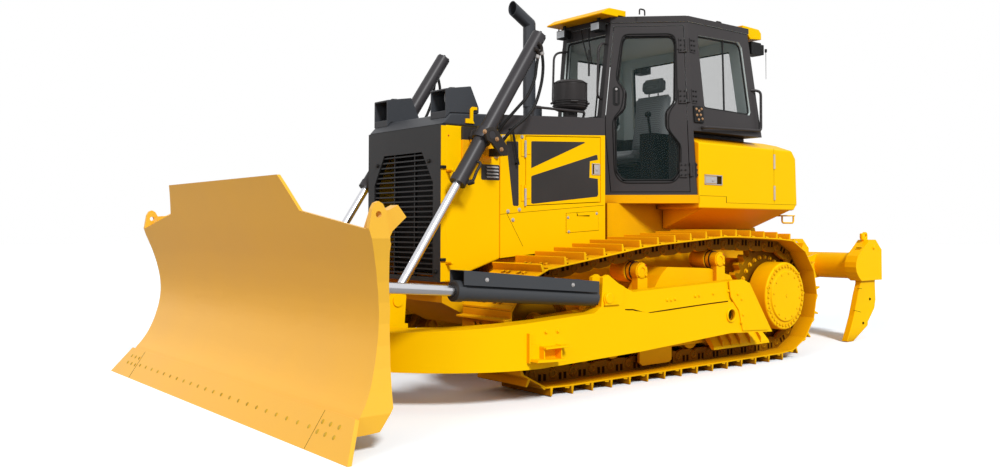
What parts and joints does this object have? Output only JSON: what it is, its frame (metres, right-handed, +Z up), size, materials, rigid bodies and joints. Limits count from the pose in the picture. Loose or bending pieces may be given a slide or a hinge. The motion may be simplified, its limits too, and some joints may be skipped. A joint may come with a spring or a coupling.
{
  "type": "crawler bulldozer with angling blade and rear ripper",
  "caption": "Crawler bulldozer: angling blade on a C-frame lifted by two cylinders, closed cab, side engine doors, tracks on fixed frames and a rear ripper.",
  "frame": {"origin": "on the ground under the middle of the machine's length and width", "axes": "+X forward to the blade, +Y to the machine's left, +Z up"},
  "size_m": [7.262, 4, 3.2201],
  "materials": {
    "yellow_paint": "gloss",
    "dark_paint": "semi-gloss",
    "black_steel": "matt",
    "chrome": "polished",
    "glass": "tinted",
    "seat_fabric": "woven",
    "plastic": "moulded",
    "engine_metal": "matt"
  },
  "bodies": {
    "chassis": {"main_frame": "yellow_paint", "left_track_frame": "yellow_paint", "right_track_frame": "yellow_paint", "left_track": "yellow_paint", "right_track": "yellow_paint", "sprockets": "yellow_paint", "final_drives": "yellow_paint", "idlers": "yellow_paint", "rollers": "yellow_paint", "engine_block": "engine_metal", "radiator_core": "black_steel", "hood": "yellow_paint", "nose_housing": "yellow_paint", "nose_cap": "dark_paint", "grille": "black_steel", "lift_yokes": "dark_paint", "exhaust_stack": "dark_paint", "air_cleaner": "plastic", "work_lamps": "dark_paint", "cab_shell": "dark_paint", "cab_glass": "glass", "visors": "yellow_paint", "seat": "seat_fabric", "console": "plastic", "rear_tank": "yellow_paint"},
    "push_frame": {"push_frame": "yellow_paint"},
    "blade": {"blade": "yellow_paint", "cutting_edges": "yellow_paint"},
    "ripper": {"ripper_beam": "yellow_paint", "ripper_shanks": "yellow_paint"},
    "ripper_barrels": {"ripper_barrels": "dark_paint"},
    "ripper_rods": {"ripper_rods": "chrome"},
    "left_engine_door": {"left_engine_door": "yellow_paint"},
    "left_cab_door": {"left_cab_door": "dark_paint", "left_door_glass": "glass"},
    "left_lift_barrel": {"left_lift_barrel": "dark_paint"},
    "left_lift_rod": {"left_lift_rod": "chrome"},
    "left_angle_barrel": {"left_angle_barrel": "dark_paint"},
    "left_angle_rod": {"left_angle_rod": "chrome"},
    "right_engine_door": {"right_engine_door": "yellow_paint"},
    "right_cab_door": {"right_cab_door": "dark_paint", "right_door_glass": "glass"},
    "right_lift_barrel": {"right_lift_barrel": "dark_paint"},
    "right_lift_rod": {"right_lift_rod": "chrome"},
    "right_angle_barrel": {"right_angle_barrel": "dark_paint"},
    "right_angle_rod": {"right_angle_rod": "chrome"}
  },
  "joints": [
    {"name": "blade_lift", "type": "hinge", "parent": "chassis", "child": "push_frame", "pos_m": [-0.259, 0, 0.489], "axis": [0, -1, 0], "range_deg": [-7, 16]},
    {"name": "left_lift_barrel_swing", "type": "hinge", "parent": "chassis", "child": "left_lift_barrel", "pos_m": [1.728, 0.66, 1.906], "axis": [0, -1, 0], "range_deg": [-9.42, 20.24]},
    {"name": "left_lift_rod_slide", "type": "slide", "parent": "left_lift_barrel", "child": "left_lift_rod", "axis": [0.5518, 0, -0.834], "range_m": [-0.687, 0.306]},
    {"name": "right_lift_barrel_swing", "type": "hinge", "parent": "chassis", "child": "right_lift_barrel", "pos_m": [1.728, -0.66, 1.906], "axis": [0, -1, 0], "range_deg": [-9.42, 20.24]},
    {"name": "right_lift_rod_slide", "type": "slide", "parent": "right_lift_barrel", "child": "right_lift_rod", "axis": [0.5518, 0, -0.834], "range_m": [-0.687, 0.306]},
    {"name": "blade_angle", "type": "hinge", "parent": "push_frame", "child": "blade", "pos_m": [3.1, 0, 0.385], "axis": [0, 0, 1], "range_deg": [-22, 22]},
    {"name": "left_angle_barrel_swing", "type": "hinge", "parent": "push_frame", "child": "left_angle_barrel", "pos_m": [1.196, 1.38, 0.697], "axis": [0, -1, 0], "range_deg": [-4, 4]},
    {"name": "left_angle_rod_slide", "type": "slide", "parent": "left_angle_barrel", "child": "left_angle_rod", "axis": [0.9967, 0, 0.0815], "range_m": [-0.525, 0.525]},
    {"name": "right_angle_barrel_swing", "type": "hinge", "parent": "push_frame", "child": "right_angle_barrel", "pos_m": [1.196, -1.38, 0.697], "axis": [0, -1, 0], "range_deg": [-4, 4]},
    {"name": "right_angle_rod_slide", "type": "slide", "parent": "right_angle_barrel", "child": "right_angle_rod", "axis": [0.9967, 0, 0.0815], "range_m": [-0.525, 0.525]},
    {"name": "ripper_lift", "type": "hinge", "parent": "chassis", "child": "ripper", "pos_m": [-2.16, 0, 0.64], "axis": [0, 1, 0], "range_deg": [-15, 20]},
    {"name": "ripper_barrel_swing", "type": "hinge", "parent": "chassis", "child": "ripper_barrels", "pos_m": [-2.12, 0, 1.15], "axis": [0, 1, 0], "range_deg": [-14.75, 19.34]},
    {"name": "ripper_rod_slide", "type": "slide", "parent": "ripper_barrels", "child": "ripper_rods", "axis": [-0.9883, 0, -0.1528], "range_m": [-0.185, 0.141]},
    {"name": "left_cab_door_hinge", "type": "hinge", "parent": "chassis", "child": "left_cab_door", "pos_m": [-0.43968, 0.88778, 1.73033], "axis": [-0.0241, -0.0658, 0.9975], "range_deg": [0, 115]},
    {"name": "left_engine_door_hinge", "type": "hinge", "parent": "chassis", "child": "left_engine_door", "pos_m": [1.198, 0.5293, 1.67], "axis": [0, 0, -1], "range_deg": [0, 95]},
    {"name": "right_cab_door_hinge", "type": "hinge", "parent": "chassis", "child": "right_cab_door", "pos_m": [-0.43968, -0.88778, 1.73033], "axis": [0.0241, -0.0658, -0.9975], "range_deg": [0, 115]},
    {"name": "right_engine_door_hinge", "type": "hinge", "parent": "chassis", "child": "right_engine_door", "pos_m": [1.198, -0.5293, 1.67], "axis": [0, 0, 1], "range_deg": [0, 95]}
  ],
  "couplings": [
    {"joint": "left_lift_barrel_swing", "follows": "blade_lift", "ratio": 1.2024},
    {"joint": "left_lift_rod_slide", "follows": "blade_lift", "m_per_rad": -2.4241},
    {"joint": "right_lift_barrel_swing", "follows": "blade_lift", "ratio": 1.2024},
    {"joint": "right_lift_rod_slide", "follows": "blade_lift", "m_per_rad": -2.4241},
    {"joint": "left_angle_barrel_swing", "follows": "blade_angle", "ratio": 0.0541},
    {"joint": "left_angle_rod_slide", "follows": "blade_angle", "m_per_rad": -1.354},
    {"joint": "right_angle_barrel_swing", "follows": "blade_angle", "ratio": -0.0541},
    {"joint": "right_angle_rod_slide", "follows": "blade_angle", "m_per_rad": 1.354},
    {"joint": "ripper_barrel_swing", "follows": "ripper_lift", "ratio": 0.917},
    {"joint": "ripper_rod_slide", "follows": "ripper_lift", "m_per_rad": -0.5003}
  ]
}
